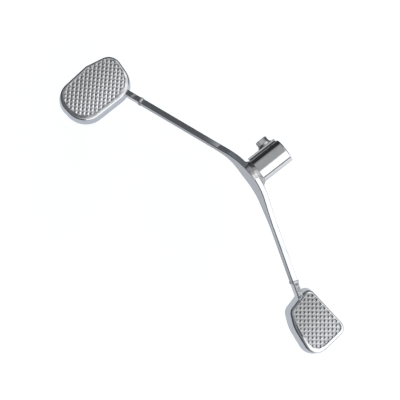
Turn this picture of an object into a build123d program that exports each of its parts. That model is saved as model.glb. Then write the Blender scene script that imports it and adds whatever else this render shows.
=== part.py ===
from build123d import *
import os
from math import cos, radians, sin, tan

# Gear shift pedal: a heel-and-toe lever. Millimetres. X points forward to the toe, Y outboard to the
# rider's boot, Z up. The lever is drawn about the point where the shaft axis meets the bar's inboard
# face, with the bar upright and the hub canted, and turned at the end so that the shaft lies along Y
# and the origin is the middle of the bore's mouth.

# Bar: flat steel on edge, bent outboard on each side of the hub
bar_thickness = 5.0
bar_edge_break = 0.6
bar_bend_radius = 72.0
toe_angle = 20.5
heel_angle = 20.6
toe_bend_x = 23.4
heel_bend_x = -12.5
toe_joint_x = 117.0
heel_joint_x = -96.5
crown_over_hub = 2.5
crown_under_hub = 6.5
crown_top_x = 0.5
crown_bottom_x = -2.0
crown_radius = 45.0
toe_waist_x = 34.0
heel_waist_x = -45.0
waist_radius = 45.0
toe_drop = 0.12
heel_rise = 0.15
toe_depth = 9.6
heel_depth = 11.5

# Hub: a round boss with a serrated blind bore, split underneath between two ears
hub_radius = 11.5
hub_length = 36.8
hub_cant = 12.0
hub_end_chamfer = 0.8
bore_crest_radius = 5.8
bore_root_radius = 6.4
bore_depth = 31.0
bore_mouth_relief = 0.4
serration_count = 24
serration_land = 0.42
slit_width = 2.0
slit_length = 32.5
ear_front_x = 14.4
ear_top_z = -2.4
ear_bottom_z = -18.2
ear_corner_radius = 4.0
ear_edge_radius = 0.8
ear_inset = 1.6
ear_start = 5.6

# Pinch bolt: hex flange bolt across the ears
bolt_radius = 3.0
bolt_hole_clearance = 0.25
bolt_z = -10.6
bolt_from_end = 11.4
bolt_tip_short = 0.6
hex_across_flats = 10.0
head_height = 6.9
flange_radius = 7.1
flange_thickness = 1.1
collar_radius = 6.1
collar_thickness = 1.2
head_chamfer = 0.6

# Weld beads
hub_bead_reach = 2.9
hub_bead_foot = 0.8
hub_bead_run = 5.0
hub_bead_lap = 3.6
hub_bead_step = 0.25
hub_bead_sides = 32
bead_proud = 0.5
bead_width = 2.6

# Foot pads: a knurled top, a skirt that leans out, hollow underneath
pad_wall = 2.2
pad_top_thickness = 2.8
pad_draft = 9.0
pad_shoulder_radius = 2.6
knurl_pitch = 3.6
knurl_depth = 1.0
knurl_land = 0.24
knurl_border = 2.6
tang_reach = 26.0
tang_inset = 0.6

# Corners seen from above, measured from the tang's joint, each with its own rounding
toe_pad_rise = 4.0
toe_pad_height = 11.0
toe_knurl_angle = 47.6
toe_knurl_shift = (0.9, -0.6)
toe_corners = [
    ((13.3, -4.8), 19.6),
    ((11.2, 57.3), 19.5),
    ((50.3, 61.3), 16.0),
    ((55.1, 20.5), 6.1),
    ((50.5, -6.7), 11.7),
]

heel_pad_rise = 7.5
heel_pad_height = 13.0
heel_knurl_angle = 51.0
heel_knurl_shift = (0.4, -0.9)
heel_corners = [
    ((-10.3, -6.3), 5.9),
    ((-16.4, 20.2), 6.5),
    ((-29.6, 26.4), 35.0),
    ((-62.6, 30.2), 12.3),
    ((-60.2, -10.6), 7.3),
]

# How far a cutting shape runs past what it cuts
overrun = 1.0


def rounded(points, radii):
    """A flat face through the points, each corner rounded with its own radius."""
    face = make_face(Polyline(*points, close=True))
    for (x, y), radius in zip(points, radii):
        if radius:
            face = fillet(face.vertices().sort_by_distance((x, y, 0))[0], radius)
    return face


def arm_y(x, angle, bend_x):
    """Y of the bar's middle line on a bent arm."""
    return abs(x - bend_x) * tan(radians(angle)) + bar_thickness / 2 / cos(radians(angle))


# Lever bar: the bent band seen from above, cut to the profile seen from outboard
toe_end_x = toe_joint_x + toe_corners[0][0][0] + tang_reach
heel_end_x = heel_joint_x + heel_corners[0][0][0] - tang_reach
inboard_line = FilletPolyline(
    (toe_end_x, (toe_end_x - toe_bend_x) * tan(radians(toe_angle))),
    (toe_bend_x, 0),
    (heel_bend_x, 0),
    (heel_end_x, (heel_bend_x - heel_end_x) * tan(radians(heel_angle))),
    radius=bar_bend_radius,
)
band_outline = offset(Wire(inboard_line.edges()), amount=bar_thickness, side=Side.RIGHT, closed=True)
band = extrude(make_face(band_outline.edges()), amount=4 * hub_radius, both=True)


def profile_points(side):
    """Edge line of the bar seen from outboard: side 1 is the top edge, -1 the bottom edge."""
    crown_x = crown_top_x if side > 0 else crown_bottom_x
    crown_half = hub_radius + (crown_over_hub if side > 0 else crown_under_hub)
    return [
        (toe_end_x, -toe_drop * toe_end_x + side * toe_depth / 2),
        (toe_waist_x, -toe_drop * toe_waist_x + side * toe_depth / 2),
        (crown_x, side * crown_half),
        (heel_waist_x, -heel_rise * heel_waist_x + side * heel_depth / 2),
        (heel_end_x, -heel_rise * heel_end_x + side * heel_depth / 2),
    ]


edge_radii = [0, waist_radius, crown_radius, waist_radius, 0]
profile = rounded(profile_points(1) + profile_points(-1)[::-1], edge_radii + edge_radii)
bar = band & extrude(Plane.XZ * profile, amount=abs(heel_end_x), both=True)
long_edges = [
    edge
    for edge in bar.edges() - bar.edges().filter_by(Axis.Y) - bar.edges().filter_by(Axis.Z)
    if heel_end_x + bar_thickness < edge.center().X < toe_end_x - bar_thickness
]
bar = chamfer(long_edges, bar_edge_break)


def joint_plane(x, angle, bend_x, middle_z):
    """Plane square across an arm, facing away from the hub."""
    outward = 1 if x > 0 else -1
    direction = (outward * cos(radians(angle)), sin(radians(angle)), 0)
    return Plane(origin=(x, arm_y(x, angle, bend_x), middle_z), x_dir=(0, 0, 1), z_dir=direction)


toe_joint = joint_plane(toe_joint_x, toe_angle, toe_bend_x, -toe_drop * toe_joint_x)
heel_joint = joint_plane(heel_joint_x, heel_angle, heel_bend_x, -heel_rise * heel_joint_x)
toe_tang = split(bar, bisect_by=toe_joint, keep=Keep.TOP)
heel_tang = split(bar, bisect_by=heel_joint, keep=Keep.TOP)
lever_arm = split(bar, bisect_by=toe_joint, keep=Keep.BOTTOM)
lever_arm = split(lever_arm, bisect_by=heel_joint, keep=Keep.BOTTOM)


def butt_bead(plane, depth):
    """Weld bead standing proud all round the bar where a tang meets it."""
    bead = Box(depth + 2 * bead_proud, bar_thickness + 2 * bead_proud, bead_width)
    bead = chamfer(bead.edges().filter_by(Axis.Z), bar_edge_break + bead_proud / 2)
    bead = chamfer(bead.faces().filter_by(Axis.Z).edges(), bead_proud * 0.8)
    return plane * bead - bar


toe_weld = butt_bead(toe_joint, toe_depth)
heel_weld = butt_bead(heel_joint, heel_depth)

# Hub: boss, ears, slit, bolt holes and serrated bore, canted and coped to the bar's inboard face
to_cant = Rot(-hub_cant, 0, 0)
cope = bar_thickness * 0.6
boss = extrude(Plane.XZ.offset(-2 * cope) * Circle(hub_radius), amount=hub_length + 2 * cope)
boss = chamfer(boss.edges().sort_by(Axis.Y)[0], hub_end_chamfer)
ear_points = [
    (-hub_radius, 0),
    (0, 0),
    (0, ear_top_z),
    (ear_front_x, ear_top_z),
    (ear_front_x, ear_bottom_z),
    (-hub_radius, ear_bottom_z),
]
ear_face = rounded(ear_points, [0, 0, 0, ear_edge_radius, ear_corner_radius, ear_corner_radius])
ears = extrude(Plane.XZ.offset(ear_start) * ear_face, amount=hub_length - ear_inset - ear_start)
ears = chamfer(ears.faces().sort_by(Axis.Y)[0].edges(), ear_edge_radius / 2)
hub_blank = boss + ears

groove_half = (1 - serration_land) * 180 / serration_count
groove = make_face(
    Polyline(
        (bore_crest_radius * 0.9, -bore_crest_radius * sin(radians(groove_half))),
        (bore_crest_radius * cos(radians(groove_half)), -bore_crest_radius * sin(radians(groove_half))),
        (bore_root_radius, 0),
        (bore_crest_radius * cos(radians(groove_half)), bore_crest_radius * sin(radians(groove_half))),
        (bore_crest_radius * 0.9, bore_crest_radius * sin(radians(groove_half))),
        close=True,
    )
)
bore_face = Circle(bore_crest_radius) + PolarLocations(0, serration_count) * groove
bore = extrude(Plane.XZ.offset(hub_length - bore_depth) * bore_face, amount=bore_depth + overrun)
mouth_face = Circle(bore_root_radius + bore_mouth_relief)
mouth = extrude(Plane.XZ.offset(hub_length) * mouth_face, amount=-bore_mouth_relief)
slit_depth = abs(ear_bottom_z) + overrun
slit = Pos(0, -hub_length + slit_length / 2, -slit_depth / 2) * Box(slit_width, slit_length, slit_depth)
bolt_y = -hub_length + bolt_from_end
bolt_at = Pos(0, bolt_y, bolt_z)
front_hole = bolt_at * extrude(Plane.YZ * Circle(bolt_radius + bolt_hole_clearance), amount=ear_front_x + overrun)
back_hole = bolt_at * extrude(Plane.YZ * Circle(bolt_radius), amount=-hub_radius - overrun)
clamp_hub = to_cant * (hub_blank - bore - mouth - slit - front_hole - back_hole)
clamp_hub = split(clamp_hub, bisect_by=Plane.XZ.offset(-cope), keep=Keep.TOP) - bar

# Hub weld: a tapering bead round the foot of the boss, lapped over the edge of the bar at the crown
bead_outline = RegularPolygon(hub_radius + hub_bead_reach, hub_bead_sides, major_radius=False)
bead = extrude(Plane.XZ.offset(-hub_bead_lap) * bead_outline, amount=hub_bead_lap + hub_bead_run)
bead_end = bead.faces().sort_by(Axis.Y)[0]
bead = chamfer(
    bead_end.edges(),
    hub_bead_reach - hub_bead_step,
    hub_bead_run - hub_bead_foot,
    reference=bead_end,
)
hub_weld = Rot(-hub_cant / 2, 0, 0) * bead - bar - to_cant * hub_blank

# Pinch bolt, its head against the front ear
head_blank = extrude(
    Plane.YZ.offset(ear_front_x) * RegularPolygon(hex_across_flats / 2, 6, major_radius=False),
    amount=head_height,
)
corner_radius = hex_across_flats / 2 / cos(radians(30))
dome = make_face(
    Polyline(
        (ear_front_x, 0),
        (ear_front_x, corner_radius),
        (ear_front_x + head_height - head_chamfer, corner_radius),
        (ear_front_x + head_height, corner_radius - head_chamfer * 1.73),
        (ear_front_x + head_height, 0),
        close=True,
    )
)
flange = extrude(Plane.YZ.offset(ear_front_x) * Circle(flange_radius), amount=flange_thickness)
collar = extrude(Plane.YZ.offset(ear_front_x) * Circle(collar_radius), amount=flange_thickness + collar_thickness)
shank_end = -hub_radius + bolt_tip_short
shank = extrude(Plane.YZ.offset(shank_end) * Circle(bolt_radius), amount=ear_front_x - shank_end)
shank = chamfer(shank.edges().sort_by(Axis.X)[0], 0.5)
bolt = (head_blank & revolve(dome, Axis.X)) + flange + collar + shank
pinch_bolt = to_cant * bolt_at * bolt


def knurl_pyramids(span):
    """Two crossed sets of ridges, kept where they meet, with their small flat tips at height 0."""
    count = int(span / knurl_pitch) + 1
    start = -count * knurl_pitch / 2
    teeth = []
    for step in range(count):
        teeth.append((start + step * knurl_pitch, -knurl_depth))
        tip = start + (step + 0.5) * knurl_pitch
        teeth.append((tip - knurl_land / 2, 0))
        teeth.append((tip + knurl_land / 2, 0))
    teeth.append((-start, -knurl_depth))
    floor = [(-start, -2 * knurl_depth), (start, -2 * knurl_depth)]
    ridges = extrude(Plane.XZ * make_face(Polyline(*teeth, *floor, close=True)), amount=-start, both=True)
    return ridges & Rot(0, 0, 90) * ridges


def with_chords(outline):
    """The outline with each rounded corner made of three straight cuts."""
    points = []
    for edge in outline.face().outer_wire().order_edges():
        steps = 3 if edge.geom_type == GeomType.CIRCLE else 1
        points += [edge @ (step / steps) for step in range(steps)]
    return make_face(Polyline(*points, close=True))


def foot_pad(corners, joint, rise, height, knurl_angle, shift, tang):
    """Knurled shell with its tang: skirt, shoulder, hollow underside, and the tang as a rib inside."""
    start = joint.origin
    top_z = start.Z + rise
    points = [(start.X + x, start.Y + y) for (x, y), _ in corners]
    outline = rounded(points, [radius for _, radius in corners])
    lean = height * tan(radians(pad_draft))
    floor_plane = Plane.XY.offset(top_z - height)
    body = extrude(floor_plane * offset(outline, amount=lean), amount=height, taper=pad_draft)
    body = fillet(body.faces().sort_by(Axis.Z)[-1].edges(), pad_shoulder_radius)
    hollow = extrude(
        floor_plane * offset(with_chords(outline), amount=lean - pad_wall),
        amount=height - pad_top_thickness,
        taper=pad_draft,
    )
    middle = outline.center()
    reach = outline.bounding_box().diagonal
    field = Pos(*shift) * offset(with_chords(outline), amount=-knurl_border)
    recess = extrude(Plane.XY.offset(top_z + overrun) * field, amount=-knurl_depth - overrun)
    pyramids = Pos(middle.X, middle.Y, top_z) * Rot(0, 0, knurl_angle) * knurl_pyramids(reach)
    cover = extrude(Plane.XY.offset(top_z - knurl_depth - tang_inset) * outline, amount=reach)
    below = extrude(Plane.XY.offset(top_z - height + tang_inset) * outline, amount=-reach)
    return (body - hollow) + (tang - cover - below) - (recess - pyramids)


toe_pad = foot_pad(
    toe_corners, toe_joint, toe_pad_rise, toe_pad_height, toe_knurl_angle, toe_knurl_shift, toe_tang
)
heel_pad = foot_pad(
    heel_corners, heel_joint, heel_pad_rise, heel_pad_height, heel_knurl_angle, heel_knurl_shift, heel_tang
)

to_mouth = Pos(0, hub_length, 0) * Rot(hub_cant, 0, 0)
os.makedirs("parts", exist_ok=True)
for name, solid in {
    "lever_arm": lever_arm,
    "clamp_hub": clamp_hub,
    "toe_pad": toe_pad,
    "heel_pad": heel_pad,
    "pinch_bolt": pinch_bolt,
    "hub_weld": hub_weld,
    "toe_weld": toe_weld,
    "heel_weld": heel_weld,
}.items():
    export_step(to_mouth * solid, f"parts/{name}.step")
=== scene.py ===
from math import cos, radians, sin

import bmesh
import bpy
from mathutils import Matrix, Vector

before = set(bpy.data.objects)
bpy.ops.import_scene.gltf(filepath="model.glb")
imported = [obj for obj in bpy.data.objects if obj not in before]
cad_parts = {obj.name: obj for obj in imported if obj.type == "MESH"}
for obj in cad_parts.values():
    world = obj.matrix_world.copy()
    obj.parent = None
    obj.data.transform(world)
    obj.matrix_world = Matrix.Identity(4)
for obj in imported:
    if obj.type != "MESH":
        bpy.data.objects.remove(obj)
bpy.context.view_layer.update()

# LEVER BAR
# Flat steel bar bent outboard on each side of the hub, drawn along its length, polished and then
# nickel and chrome plated. The plating keeps the long, very shallow waves of the polishing belt. Towards the
# heel the outboard face is rougher and darkened by painted shade, and the toe arm's slanted flanks and
# edges are darkened by painted shade.


def feed(tree, socket, source):
    """Sets a socket to a number or colour, or links it to another node's output."""
    if isinstance(source, bpy.types.NodeSocket):
        tree.links.new(source, socket)
    else:
        socket.default_value = source


def number_of(tree, operation, first, second=0.5, third=0.0):
    """One step of arithmetic."""
    node = tree.nodes.new("ShaderNodeMath")
    node.operation = operation
    for socket, source in zip(node.inputs, (first, second, third)):
        feed(tree, socket, source)
    return node.outputs[0]


def both(tree, first, second):
    """Product of two shares, full only where both of them are."""
    return number_of(tree, "MULTIPLY", first, second)


def vector_of(tree, operation, first, second=(0, 0, 0)):
    """One step of vector arithmetic; its output is a number for DOT_PRODUCT."""
    node = tree.nodes.new("ShaderNodeVectorMath")
    node.operation = operation
    feed(tree, node.inputs[0], first)
    feed(tree, node.inputs[1], second)
    return node.outputs["Value" if operation == "DOT_PRODUCT" else "Vector"]


def axes_of(tree, vector):
    """The outputs X, Y and Z of a vector."""
    node = tree.nodes.new("ShaderNodeSeparateXYZ")
    feed(tree, node.inputs[0], vector)
    return node.outputs


def face_normal(tree):
    """The way that the surface looks, before any bump."""
    return tree.nodes.new("ShaderNodeNewGeometry").outputs["Normal"]


def between(tree, value, low, high, lowest=0.0, highest=1.0):
    """A smooth rise from lowest at low to highest at high."""
    node = tree.nodes.new("ShaderNodeMapRange")
    node.interpolation_type = "SMOOTHSTEP"
    for name, source in (
        ("Value", value),
        ("From Min", low),
        ("From Max", high),
        ("To Min", lowest),
        ("To Max", highest),
    ):
        feed(tree, node.inputs[name], source)
    return node.outputs["Result"]


def blend(tree, share, lowest, highest):
    """A number between two others, lowest where the share is 0 and highest where it is 1."""
    return between(tree, share, 0.0, 1.0, lowest, highest)


def tint(tree, share, first, second):
    """A colour between two others."""
    node = tree.nodes.new("ShaderNodeMix")
    node.data_type = "RGBA"
    feed(tree, node.inputs[0], share)
    feed(tree, node.inputs[6], first)
    feed(tree, node.inputs[7], second)
    return node.outputs[2]


def place_on(tree, scale=(1, 1, 1)):
    """The piece's own coordinates in metres, or stretched."""
    coordinates = tree.nodes.new("ShaderNodeTexCoord")
    mapping = tree.nodes.new("ShaderNodeMapping")
    feed(tree, mapping.inputs["Scale"], scale)
    feed(tree, mapping.inputs["Vector"], coordinates.outputs["Object"])
    return mapping.outputs["Vector"]


def cloud(tree, position, scale, detail=2.0, roughness=0.5):
    """Soft noise from 0 to 1."""
    node = tree.nodes.new("ShaderNodeTexNoise")
    feed(tree, node.inputs["Vector"], position)
    feed(tree, node.inputs["Scale"], scale)
    feed(tree, node.inputs["Detail"], detail)
    feed(tree, node.inputs["Roughness"], roughness)
    return node.outputs["Fac"]


def new_group(name, inputs, outputs):
    """A node group with the sockets given as names and types, its inputs and its outputs."""
    group = bpy.data.node_groups.new(name, "ShaderNodeTree")
    for side, sockets in (("INPUT", inputs), ("OUTPUT", outputs)):
        for socket_name, kind in sockets.items():
            group.interface.new_socket(socket_name, in_out=side, socket_type=kind)
    return group, group.nodes.new("NodeGroupInput").outputs, group.nodes.new("NodeGroupOutput").inputs


def placed(tree, group, **values):
    """The outputs of a node group put into a material with its own values."""
    node = tree.nodes.new("ShaderNodeGroup")
    node.node_tree = group
    for name, source in values.items():
        feed(tree, node.inputs[name.replace("_", " ").capitalize()], source)
    return node.outputs


# Softened edge: where two faces meet, the plating runs round the corner and is polished thin. The edge is
# read from how well the rounded normal still matches the face's own.
number, direction = "NodeSocketFloat", "NodeSocketVector"
edge_match = (0.995, 0.86)

edge_group, given, result = new_group(
    "softened edge",
    inputs={"Radius": number},
    outputs={"Edge": number, "Normal": direction},
)
rounding = edge_group.nodes.new("ShaderNodeBevel")
rounding.samples = 6
feed(edge_group, rounding.inputs["Radius"], given["Radius"])
match = vector_of(edge_group, "DOT_PRODUCT", rounding.outputs["Normal"], face_normal(edge_group))
feed(edge_group, result["Edge"], between(edge_group, match, *edge_match))
feed(edge_group, result["Normal"], rounding.outputs["Normal"])

# Plated surface: broad waves, a fine grain and the dull film that handling leaves on chrome.
film_cover = (0.42, 0.72)

plate_group, given, result = new_group(
    "plated surface",
    inputs={
        "Position": direction,
        "Wave size": number,
        "Wave depth": number,
        "Grain depth": number,
        "Clean": number,
        "Filmed": number,
    },
    outputs={"Film": number, "Roughness": number, "Height": number},
)
waves = cloud(plate_group, given["Position"], given["Wave size"], detail=1.0)
grain = cloud(plate_group, given["Position"], scale=2600.0, detail=3.0, roughness=0.6)
patches = cloud(plate_group, given["Position"], scale=130.0, detail=4.0, roughness=0.62)
film = between(plate_group, patches, *film_cover)
feed(plate_group, result["Film"], film)
feed(plate_group, result["Roughness"], blend(plate_group, film, given["Clean"], given["Filmed"]))
raised = number_of(plate_group, "MULTIPLY", waves, given["Wave depth"])
raised = number_of(plate_group, "MULTIPLY_ADD", grain, given["Grain depth"], raised)
feed(plate_group, result["Height"], raised)


def metal(name):
    """A new metal material, its node tree and its shader."""
    material = bpy.data.materials.new(name)
    material.use_nodes = True
    shader = material.node_tree.nodes["Principled BSDF"]
    shader.inputs["Metallic"].default_value = 1.0
    return material, material.node_tree, shader


def relief(tree, shader, height, normal, depth):
    """Bumps over a normal; depth is what a height of 1 stands for, in metres."""
    bump = tree.nodes.new("ShaderNodeBump")
    feed(tree, bump.inputs["Strength"], 1.0)
    feed(tree, bump.inputs["Distance"], depth)
    feed(tree, bump.inputs["Height"], height)
    feed(tree, bump.inputs["Normal"], normal)
    feed(tree, shader.inputs["Normal"], bump.outputs["Normal"])


def dress(node_name, material):
    """Puts a material into every slot of a CAD node."""
    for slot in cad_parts[node_name].material_slots:
        slot.material = material


chrome_bright = (0.58, 0.59, 0.60, 1)
chrome_filmed = (0.49, 0.515, 0.545, 1)
chrome_edge = (0.66, 0.665, 0.67, 1)
heel_painted_shade = (0.20, 0.205, 0.215, 1)
chrome_painted_shade = (0.22, 0.23, 0.235, 1)
scuffed_roughness = 0.16
plating_relief = 0.001

# Where a look sets in and where it is full, in metres along the bar and by how squarely a face looks outboard
heel_shade_along = (-0.055, -0.125)
heel_shade_outboard = (0.35, 0.75)
toe_arm_along = (0.0, 0.03)
flank_outboard = (0.10, 0.25)
flank_slanted = (0.97, 0.85)

bar_chrome, tree, shader = metal("bar chrome")
plate = placed(
    tree,
    plate_group,
    position=place_on(tree, scale=(0.22, 1.0, 1.0)),
    wave_size=110.0,
    wave_depth=0.05,
    grain_depth=0.002,
    clean=0.04,
    filmed=0.09,
)
edge = placed(tree, edge_group, radius=0.0005)
outboard = axes_of(tree, face_normal(tree))["Y"]
along = axes_of(tree, place_on(tree))["X"]
# Towards the heel the outboard face is rougher, and its colour is darkened as painted shade
heel_shade_and_scuff = both(tree, between(tree, along, *heel_shade_along), between(tree, outboard, *heel_shade_outboard))
painted_shade_flank = both(tree, between(tree, outboard, *flank_outboard), between(tree, outboard, *flank_slanted))
on_toe_arm = between(tree, along, *toe_arm_along)
face_colour = tint(tree, plate["Film"], chrome_bright, chrome_filmed)
face_colour = tint(tree, heel_shade_and_scuff, face_colour, heel_painted_shade)
# Painted shade on the toe arm's slanted flanks and on its edges
face_colour = tint(tree, both(tree, painted_shade_flank, on_toe_arm), face_colour, chrome_painted_shade)
edge_colour = tint(tree, on_toe_arm, chrome_edge, chrome_painted_shade)
feed(tree, shader.inputs["Base Color"], tint(tree, edge["Edge"], face_colour, edge_colour))
feed(tree, shader.inputs["Roughness"], blend(tree, heel_shade_and_scuff, plate["Roughness"], scuffed_roughness))
relief(tree, shader, plate["Height"], edge["Normal"], plating_relief)
dress("lever_arm", bar_chrome)

# CLAMP HUB
# Turned steel boss with two ears, split underneath, welded to the bar and plated with it. The serrated
# bore and the faces of the slit were masked, so they are bare, oiled steel. The front ear's ledge has a
# painted highlight along its outer edge and painted shade in the corner against the boss.
steel_bare = (0.30, 0.295, 0.285, 1)
steel_oiled = (0.11, 0.10, 0.09, 1)
hub_bright = (0.58, 0.58, 0.57, 1)
hub_filmed = (0.53, 0.53, 0.52, 1)
ledge_painted_highlight = (0.90, 0.90, 0.89, 1)
ledge_painted_shade = (0.06, 0.06, 0.065, 1)
bare_roughness = 0.38
oil_cover = (0.35, 0.65)

# Where the bore, the slit and the ledge set in and where they are full, in metres from the bore's axis, and
# for the ledge also by how squarely a face looks up
bore_off_axis = (0.0069, 0.0066)
slit_beside_axis = (0.0012, 0.00105)
slit_under_axis = (0.0, -0.001)
ledge_upward = (0.85, 0.93)
ledge_forward = (0.0109, 0.0112)
painted_shade_forward = (0.0137, 0.0122)

hub_chrome, tree, shader = metal("hub chrome")
on_hub = place_on(tree)
plate = placed(
    tree,
    plate_group,
    position=on_hub,
    wave_size=160.0,
    wave_depth=0.03,
    grain_depth=0.004,
    clean=0.05,
    filmed=0.11,
)
edge = placed(tree, edge_group, radius=0.0006)
place = axes_of(tree, on_hub)
across = number_of(tree, "MULTIPLY", place["X"], place["X"])
off_axis = number_of(tree, "SQRT", number_of(tree, "MULTIPLY_ADD", place["Z"], place["Z"], across))
in_bore = between(tree, off_axis, *bore_off_axis)
beside_axis = between(tree, number_of(tree, "ABSOLUTE", place["X"]), *slit_beside_axis)
in_slit = both(tree, beside_axis, between(tree, place["Z"], *slit_under_axis))
masked = number_of(tree, "MAXIMUM", in_bore, in_slit)
upward = axes_of(tree, face_normal(tree))["Z"]
on_ledge = both(tree, between(tree, upward, *ledge_upward), between(tree, place["X"], *ledge_forward))
beside_boss = between(tree, place["X"], *painted_shade_forward)
oily = between(tree, cloud(tree, on_hub, scale=420.0, detail=4.0, roughness=0.6), *oil_cover)
bare = tint(tree, oily, steel_bare, steel_oiled)
face_colour = tint(tree, plate["Film"], hub_bright, hub_filmed)
# On the ledge: painted highlight at its outer edge, painted shade in the corner against the boss
face_colour = tint(tree, on_ledge, face_colour, tint(tree, beside_boss, ledge_painted_highlight, ledge_painted_shade))
plated = tint(tree, edge["Edge"], face_colour, chrome_edge)
feed(tree, shader.inputs["Base Color"], tint(tree, masked, plated, bare))
feed(tree, shader.inputs["Roughness"], blend(tree, masked, plate["Roughness"], bare_roughness))
relief(tree, shader, plate["Height"], edge["Normal"], plating_relief)
dress("clamp_hub", hub_chrome)

# WELDS
# MIG beads laid round the foot of the boss and across each tang, ground a little and plated over. The
# heat leaves a brown cast, and the bead's overlapping puddles still show as ripples.
weld_bright = (0.54, 0.55, 0.565, 1)
weld_brown = (0.39, 0.375, 0.37, 1)
weld_roughness = (0.30, 0.42)
weld_relief = 0.0005
heat_cover = (0.38, 0.62)
lump_height = 0.9
ripple_height = 0.05

bead_group, given, result = new_group(
    "weld bead",
    inputs={"Position": direction},
    outputs={"Heat": number, "Roughness": number, "Height": number},
)
ripples = bead_group.nodes.new("ShaderNodeTexWave")
ripples.wave_type = "BANDS"
ripples.bands_direction = "X"
ripples.wave_profile = "SIN"
feed(bead_group, ripples.inputs["Vector"], given["Position"])
feed(bead_group, ripples.inputs["Scale"], 600.0)
feed(bead_group, ripples.inputs["Distortion"], 3.0)
feed(bead_group, ripples.inputs["Detail"], 1.0)
lumps = cloud(bead_group, given["Position"], scale=150.0)
patches = cloud(bead_group, given["Position"], scale=150.0, detail=3.0, roughness=0.6)
heat = between(bead_group, patches, *heat_cover)
feed(bead_group, result["Heat"], heat)
feed(bead_group, result["Roughness"], blend(bead_group, heat, *weld_roughness))
raised = number_of(bead_group, "MULTIPLY", ripples.outputs["Fac"], ripple_height)
raised = number_of(bead_group, "MULTIPLY_ADD", lumps, lump_height, raised)
feed(bead_group, result["Height"], raised)

for node_name in ("hub_weld", "toe_weld", "heel_weld"):
    weld_chrome, tree, shader = metal(node_name.replace("_", " ") + " chrome")
    bead = placed(tree, bead_group, position=place_on(tree))
    edge = placed(tree, edge_group, radius=0.0008)
    heated = tint(tree, bead["Heat"], weld_bright, weld_brown)
    feed(tree, shader.inputs["Base Color"], tint(tree, edge["Edge"], heated, chrome_filmed))
    feed(tree, shader.inputs["Roughness"], bead["Roughness"])
    relief(tree, shader, bead["Height"], edge["Normal"], weld_relief)
    dress(node_name, weld_chrome)

# PINCH BOLT
# Cold-headed hex flange bolt, zinc plated, screwed across the ears. Its finish is greyer and rougher
# than the chrome, and the thread shows in the slit and past the back ear.
zinc_bright = (0.50, 0.495, 0.485, 1)
zinc_dull = (0.27, 0.27, 0.275, 1)
zinc_edge = (0.55, 0.54, 0.53, 1)
thread_pitch = 0.001
thread_steepness = 1000.0
shank_forward = (0.002, 0.001)

bolt_zinc, tree, shader = metal("bolt zinc")
on_bolt = place_on(tree)
plate = placed(
    tree,
    plate_group,
    position=on_bolt,
    wave_size=420.0,
    wave_depth=0.02,
    grain_depth=0.012,
    clean=0.32,
    filmed=0.46,
)
edge = placed(tree, edge_group, radius=0.0004)
face_colour = tint(tree, plate["Film"], zinc_bright, zinc_dull)
feed(tree, shader.inputs["Base Color"], tint(tree, edge["Edge"], face_colour, zinc_edge))
feed(tree, shader.inputs["Roughness"], plate["Roughness"])
forward = axes_of(tree, on_bolt)["X"]
turns = number_of(tree, "PINGPONG", forward, thread_pitch / 2)
thread = number_of(tree, "MULTIPLY", turns, thread_steepness)
thread = both(tree, thread, between(tree, forward, *shank_forward))
raised = number_of(tree, "ADD", plate["Height"], thread)
relief(tree, shader, raised, edge["Normal"], plating_relief)
dress("pinch_bolt", bolt_zinc)

# FOOT PADS
# Pressed steel shells with a rolled knurl for grip and a rolled rim, plated bright. Road dirt settles
# between the points of the knurl. The knurl's facets carry a painted light gradient, darker away from the
# heel and lighter towards it, and the flat of each tang carries patchy painted shade, heaviest on the heel
# pad's.
pad_tilt = 12.0
square_to_pad = Vector((0, -sin(radians(pad_tilt)), cos(radians(pad_tilt))))
knurl_painted_bright = (0.70, 0.71, 0.73, 1)
knurl_painted_dark = (0.36, 0.365, 0.365, 1)
knurl_dirt = (0.36, 0.365, 0.375, 1)
skirt_chrome = (0.72, 0.745, 0.78, 1)
tang_painted_shade = (0.10, 0.105, 0.11, 1)
facet_roughness = 0.36
dirt_roughness = 0.42
knurl_depth = 0.001
rim_roll = 0.34

# Where dirt sets in and ends below the crests, in depths of the knurl, and how much of it patches leave
dirt_begins = (0.55, 1.05)
dirt_ends = (1.25, 1.1)
dirt_patches = (0.3, 0.6)
least_dirt = 0.4
# Noise range of the patchy painted shade on the tangs
tang_shade_patches = (0.32, 0.62)

# How squarely the knurl's facets, the skirt, the tang and the rim look along the pad's own upward direction
facet_begins = (0.78, 0.84)
facet_ends = (0.97, 0.93)
skirt_lean = (0.6, 0.4)
tang_lean = (0.90, 0.95)
rim_lean = (0.985, 0.996)

# Metres: the painted light gradient towards the heel from the pad's middle, and where tang and rim part, from
# the shaft's axis
painted_light_along = (-0.028, 0.03)
tang_blend = 0.001
tang_ends = {"toe_pad": 0.1345, "heel_pad": 0.108}
# Strength of the painted shade on each pad's tang
tang_shade_strength = {"toe_pad": 0.1, "heel_pad": 0.97}


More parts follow.
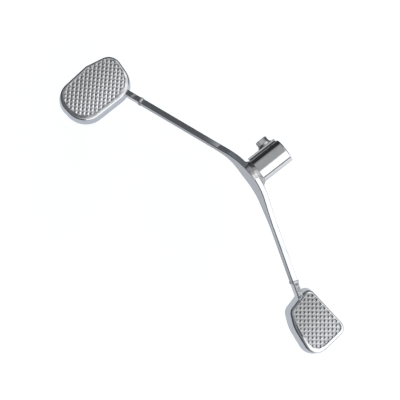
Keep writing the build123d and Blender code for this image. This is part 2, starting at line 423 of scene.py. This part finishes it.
def pad_chrome(node_name, crest, middle):
    """Chrome of one pad, from the height of its crests square to it and its middle."""
    material, tree, shader = metal(node_name.replace("_", " ") + " chrome")
    on_pad = place_on(tree)
    plate = placed(
        tree,
        plate_group,
        position=on_pad,
        wave_size=120.0,
        wave_depth=0.04,
        grain_depth=0.004,
        clean=0.05,
        filmed=0.12,
    )
    edge = placed(tree, edge_group, radius=0.00028)

    # Dirt between the points
    level = vector_of(tree, "DOT_PRODUCT", on_pad, square_to_pad)
    valley = between(tree, level, *(crest - share * knurl_depth for share in dirt_begins))
    not_under = between(tree, level, *(crest - share * knurl_depth for share in dirt_ends))
    patches = between(tree, cloud(tree, on_pad, scale=240.0, detail=3.0), *dirt_patches, least_dirt)
    dirty = both(tree, both(tree, valley, not_under), patches)

    # Facets, skirt and tang, told apart by how they lean
    lean = vector_of(tree, "DOT_PRODUCT", face_normal(tree), square_to_pad)
    facet = both(tree, between(tree, lean, *facet_begins), between(tree, lean, *facet_ends))
    from_middle = vector_of(tree, "SUBTRACT", on_pad, middle)
    towards_heel = vector_of(tree, "DOT_PRODUCT", from_middle, (-1, 0, 0))
    # Painted light gradient on the knurl: darker away from the heel, lighter towards it
    knurl_painted_light = tint(tree, between(tree, towards_heel, *painted_light_along), knurl_painted_dark, knurl_painted_bright)
    from_shaft = number_of(tree, "ABSOLUTE", axes_of(tree, on_pad)["X"])
    tang_end = tang_ends[node_name]
    along_tang = between(tree, from_shaft, tang_end, tang_end - tang_blend)
    on_tang = both(tree, between(tree, lean, *tang_lean), along_tang)
    # Patchy painted shade on the flat of the tang, heaviest on the heel pad
    most_tang_shade = tang_shade_strength[node_name]
    patches = cloud(tree, on_pad, scale=420.0, detail=3.0, roughness=0.6)
    tang_shade_share = between(tree, patches, *tang_shade_patches, 0.5 * most_tang_shade, most_tang_shade)
    face_colour = tint(tree, plate["Film"], chrome_bright, chrome_filmed)
    face_colour = tint(tree, facet, face_colour, knurl_painted_light)
    face_colour = tint(tree, between(tree, lean, *skirt_lean), face_colour, skirt_chrome)
    face_colour = tint(tree, both(tree, on_tang, tang_shade_share), face_colour, tang_painted_shade)
    face_colour = tint(tree, edge["Edge"], face_colour, chrome_edge)
    feed(tree, shader.inputs["Base Color"], tint(tree, dirty, face_colour, knurl_dirt))
    rough = blend(tree, facet, plate["Roughness"], facet_roughness)
    feed(tree, shader.inputs["Roughness"], blend(tree, dirty, rough, dirt_roughness))

    # The rim's roll turns the normal outwards from the pad's middle, beyond the tang
    outward = vector_of(tree, "NORMALIZE", vector_of(tree, "MULTIPLY", from_middle, (1, 1, 0)))
    roll = between(tree, lean, *rim_lean, 0.0, rim_roll)
    roll = both(tree, roll, between(tree, from_shaft, tang_end - tang_blend, tang_end))
    amount = tree.nodes.new("ShaderNodeCombineXYZ")
    for socket in amount.inputs:
        feed(tree, socket, roll)
    outward = vector_of(tree, "MULTIPLY", outward, amount.outputs[0])
    normal = vector_of(tree, "NORMALIZE", vector_of(tree, "ADD", edge["Normal"], outward))
    relief(tree, shader, plate["Height"], normal, plating_relief)
    return material


for node_name in ("toe_pad", "heel_pad"):
    points = [vertex.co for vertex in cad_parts[node_name].data.vertices]
    crest = max(square_to_pad.dot(point) for point in points)
    middle = sum(points, Vector()) / len(points)
    dress(node_name, pad_chrome(node_name, crest, middle))

# FLOOR
# Matt white paper a hand's breadth below the pedal, which keeps the pedal's soft shadow. For chrome it
# glows instead with a painted light map: greyer, lighter towards the lit side and nearly black at the far
# side. It is clear from underneath, so that it never hides the pedal.
turn_cosine = 0.788
turn_sine = 0.616
picture_right = Vector((-turn_sine, -turn_cosine, 0.0))
picture_up = Vector((turn_cosine, -turn_sine, 0.0))
floor_reach = 3.0
floor_height = -0.2
paper_colour = (0.8, 0.8, 0.8, 1)
paper_light = (0.95, 0.985, 1.05, 1)
black = (0, 0, 0, 1)
paper_roughness = 0.9
paper_seen = 0.35
painted_paper_glow = 0.63
painted_lit_glow = 1.22
painted_dark_glow = 0.05
painted_lit_along = (0.0, 0.2)
painted_dark_along = (0.06, 0.2)

floor_mesh = bpy.data.meshes.new("floor")
work = bmesh.new()
bmesh.ops.create_grid(work, x_segments=1, y_segments=1, size=floor_reach)
bmesh.ops.translate(work, vec=(0, 0, floor_height), verts=work.verts)
work.to_mesh(floor_mesh)
work.free()
floor = bpy.data.objects.new("floor", floor_mesh)
bpy.context.scene.collection.objects.link(floor)
paper = bpy.data.materials.new("white paper")
paper.use_nodes = True
tree = paper.node_tree
shader = tree.nodes["Principled BSDF"]
shader.inputs["Roughness"].default_value = paper_roughness
shader.inputs["Specular IOR Level"].default_value = 0.0
shader.inputs["Emission Color"].default_value = paper_light
on_floor = place_on(tree)
# Painted light map that chrome sees on the floor: brighter towards the picture's right, nearly black at the
# far side
painted_lit_side = between(tree, vector_of(tree, "DOT_PRODUCT", on_floor, picture_right), *painted_lit_along)
painted_dark_side = between(tree, vector_of(tree, "DOT_PRODUCT", on_floor, picture_up), *painted_dark_along)
painted_glow = blend(tree, painted_lit_side, painted_paper_glow, painted_lit_glow)
painted_glow = blend(tree, painted_dark_side, painted_glow, painted_dark_glow)
light_path = tree.nodes.new("ShaderNodeLightPath").outputs
to_chrome = light_path["Is Glossy Ray"]
to_camera = number_of(tree, "MULTIPLY", light_path["Is Camera Ray"], paper_seen)
feed(tree, shader.inputs["Base Color"], tint(tree, to_chrome, paper_colour, black))
feed(tree, shader.inputs["Emission Strength"], blend(tree, to_chrome, to_camera, painted_glow))
cover = tree.nodes.new("ShaderNodeMixShader")
feed(tree, cover.inputs[0], tree.nodes.new("ShaderNodeNewGeometry").outputs["Backfacing"])
feed(tree, cover.inputs[1], shader.outputs[0])
feed(tree, cover.inputs[2], tree.nodes.new("ShaderNodeBsdfTransparent").outputs[0])
feed(tree, tree.nodes["Material Output"].inputs["Surface"], cover.outputs[0])
floor.data.materials.append(paper)

# STUDIO LIGHT
# A grey room with one broad soft panel over the right-hand side of the pedal, and darker walls beyond
# its upper and left-hand sides. Panel and walls are laid out by direction alone.
panel_light = 1.9
room_light = 0.58
far_up_light = 0.24
upper_wall_light = 0.16
left_wall_light = 0.14
horizon_light = 0.10
least_height = 0.04
horizon_rise = (0.05, 0.24)
white_from = (0.3, 1.2)
wall_cool = (0.93, 0.97, 1.03, 1)
pure_white = (1, 1, 1, 1)

world = bpy.data.worlds.new("studio")
bpy.context.scene.world = world
world.use_nodes = True
tree = world.node_tree
ray = tree.nodes.new("ShaderNodeTexCoord").outputs["Generated"]
ray_height = axes_of(tree, ray)["Z"]
height = number_of(tree, "MAXIMUM", ray_height, least_height)


def sky_beyond(angle, begins, full):
    """Share of the sky beyond a slope from straight up, at an angle from the picture's right to its top."""
    level = picture_right * cos(radians(angle)) + picture_up * sin(radians(angle))
    slope = number_of(tree, "DIVIDE", vector_of(tree, "DOT_PRODUCT", ray, level), height)
    return between(tree, slope, begins, full)


right_panel = both(
    tree,
    sky_beyond(angle=0, begins=0.10, full=0.27),
    sky_beyond(angle=-28, begins=-0.16, full=-0.04),
)
lower_panel = both(
    tree,
    sky_beyond(angle=-60, begins=0.34, full=0.56),
    sky_beyond(angle=232, begins=0.62, full=0.36),
)
panel = number_of(tree, "MAXIMUM", right_panel, lower_panel)
upper_wall = both(
    tree,
    sky_beyond(angle=86, begins=0.19, full=0.50),
    sky_beyond(angle=10, begins=-0.15, full=0.12),
)
far_up = sky_beyond(angle=120, begins=0.3, full=6.0)
left_wall = sky_beyond(angle=215, begins=0.05, full=0.35)
lit = blend(tree, far_up, room_light, far_up_light)
lit = blend(tree, upper_wall, lit, upper_wall_light)
lit = blend(tree, left_wall, lit, left_wall_light)
lit = blend(tree, panel, lit, panel_light)
lit = number_of(tree, "MULTIPLY", lit, between(tree, ray_height, *horizon_rise, horizon_light))
wall_colour = tint(tree, between(tree, lit, *white_from), wall_cool, pure_white)
to_camera = tree.nodes.new("ShaderNodeLightPath").outputs["Is Camera Ray"]
background = tree.nodes["Background"]
feed(tree, background.inputs["Color"], tint(tree, to_camera, wall_colour, pure_white))
feed(tree, background.inputs["Strength"], blend(tree, to_camera, lit, 1.0))

# CAMERA
# Nearly straight above the pedal, turned so that the hub points up and to the right.
camera_place = Vector((0.0117, 0.0562, 0.6302))
camera_target = Vector((0.0117, 0.08864, 0.01102))

camera_data = bpy.data.cameras.new("camera")
camera_data.sensor_width = 36
camera_data.lens = 62.0
camera_data.clip_start = 0.01
camera_data.clip_end = 20
camera = bpy.data.objects.new("camera", camera_data)
bpy.context.scene.collection.objects.link(camera)
back = (camera_place - camera_target).normalized()
inboard = Vector((0, -1, 0))
inboard = (inboard - back * back.dot(inboard)).normalized()
forward = Vector((1, 0, 0))
right = turn_cosine * inboard - turn_sine * forward
up = turn_sine * inboard + turn_cosine * forward
turn = Matrix((right.normalized(), up.normalized(), back)).transposed().to_4x4()
camera.matrix_world = Matrix.Translation(camera_place) @ turn
bpy.context.scene.camera = camera

bpy.context.scene.view_settings.view_transform = "Standard"
